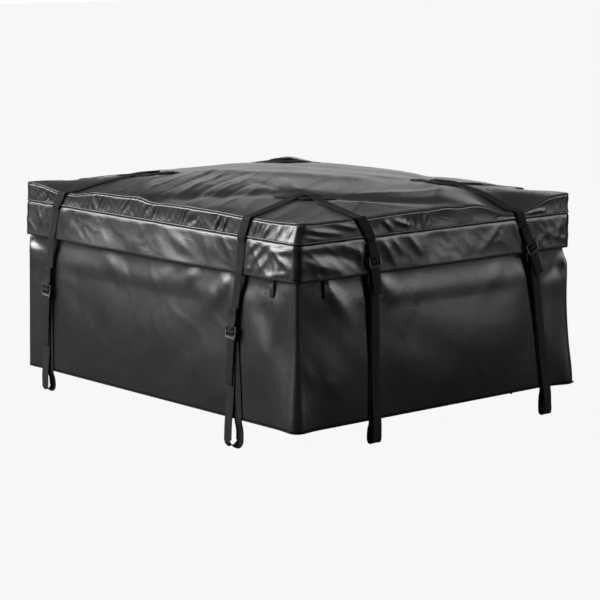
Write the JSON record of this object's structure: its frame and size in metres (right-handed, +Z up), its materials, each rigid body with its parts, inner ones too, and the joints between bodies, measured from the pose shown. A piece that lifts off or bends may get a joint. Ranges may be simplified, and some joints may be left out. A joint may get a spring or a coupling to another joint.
{
  "type": "roof cargo bag",
  "caption": "Soft box-shaped roof cargo bag of coated fabric with a zipped lid under a storm flap, webbing straps with ladder-lock buckles over the lid, and open loops below the base.",
  "frame": {"origin": "centre of the flat underside of the base panel", "axes": "+X towards the right end, -Y towards the front with the plain flap, +Z up"},
  "size_m": [1.0128, 0.8658, 0.5451],
  "materials": {
    "coated_fabric": "black vinyl-coated fabric with a soft gloss, fine woven grain and wrinkles",
    "trim_tape": "matt black woven binding tape and sewn patches",
    "webbing": "matt black ribbed polyester webbing",
    "moulded_plastic": "satin black moulded plastic",
    "zip_tape": "matt black zip tape with a moulded coil",
    "slider_metal": "black painted metal"
  },
  "bodies": {
    "bag": {"base_panel": "coated_fabric", "front_wall": "coated_fabric", "right_wall": "coated_fabric", "rear_wall": "coated_fabric", "left_wall": "coated_fabric", "lid_top": "coated_fabric", "lid_band": "coated_fabric", "lid_skirt": "coated_fabric", "top_piping": "trim_tape", "seam_piping": "trim_tape", "hem_binding": "trim_tape", "storm_flap_front": "coated_fabric", "storm_flap_right": "coated_fabric", "storm_flap_rear": "coated_fabric", "storm_flap_left": "coated_fabric", "corner_tape_front_right": "trim_tape", "corner_tape_rear_right": "trim_tape", "corner_tape_rear_left": "trim_tape", "corner_tape_front_left": "trim_tape", "zip_lower": "zip_tape", "zip_upper": "zip_tape", "zip_stop_left": "slider_metal", "zip_stop_right": "slider_metal", "lid_patch_front_right": "trim_tape", "lid_patch_rear_right": "trim_tape", "lid_patch_front_left": "trim_tape", "lid_patch_rear_left": "trim_tape", "strap_front_right": "webbing", "buckle_tab_front_right": "webbing", "buckle_front_right": "moulded_plastic", "strap_front_left": "webbing", "buckle_tab_front_left": "webbing", "buckle_front_left": "moulded_plastic", "strap_right_front": "webbing", "buckle_tab_right_front": "webbing", "buckle_right_front": "moulded_plastic", "strap_right_rear": "webbing", "buckle_tab_right_rear": "webbing", "buckle_right_rear": "moulded_plastic", "strap_rear_right": "webbing", "buckle_tab_rear_right": "webbing", "buckle_rear_right": "moulded_plastic", "strap_rear_left": "webbing", "buckle_tab_rear_left": "webbing", "buckle_rear_left": "moulded_plastic", "strap_left_rear": "webbing", "buckle_tab_left_rear": "webbing", "buckle_left_rear": "moulded_plastic", "strap_left_front": "webbing", "buckle_tab_left_front": "webbing", "buckle_left_front": "moulded_plastic"},
    "front_slider": {"zip_slider_front": "slider_metal"},
    "front_pull": {"zip_pull_front": "moulded_plastic"},
    "right_slider": {"zip_slider_right": "slider_metal"},
    "right_pull": {"zip_pull_right": "moulded_plastic"}
  },
  "joints": [
    {"name": "front_slider_slide", "type": "slide", "parent": "bag", "child": "front_slider", "axis": [-1, 0, 0], "range_m": [0, 0.82]},
    {"name": "front_pull_swing", "type": "hinge", "parent": "front_slider", "child": "front_pull", "pos_m": [0.407, -0.4135, 0.343], "axis": [0, -1, 0], "range_deg": [-60, 60]},
    {"name": "right_slider_slide", "type": "slide", "parent": "bag", "child": "right_slider", "axis": [0, 1, 0], "range_m": [0, 0.66]},
    {"name": "right_pull_swing", "type": "hinge", "parent": "right_slider", "child": "right_pull", "pos_m": [0.4885, -0.332, 0.343], "axis": [1, 0, 0], "range_deg": [-60, 60]}
  ]
}
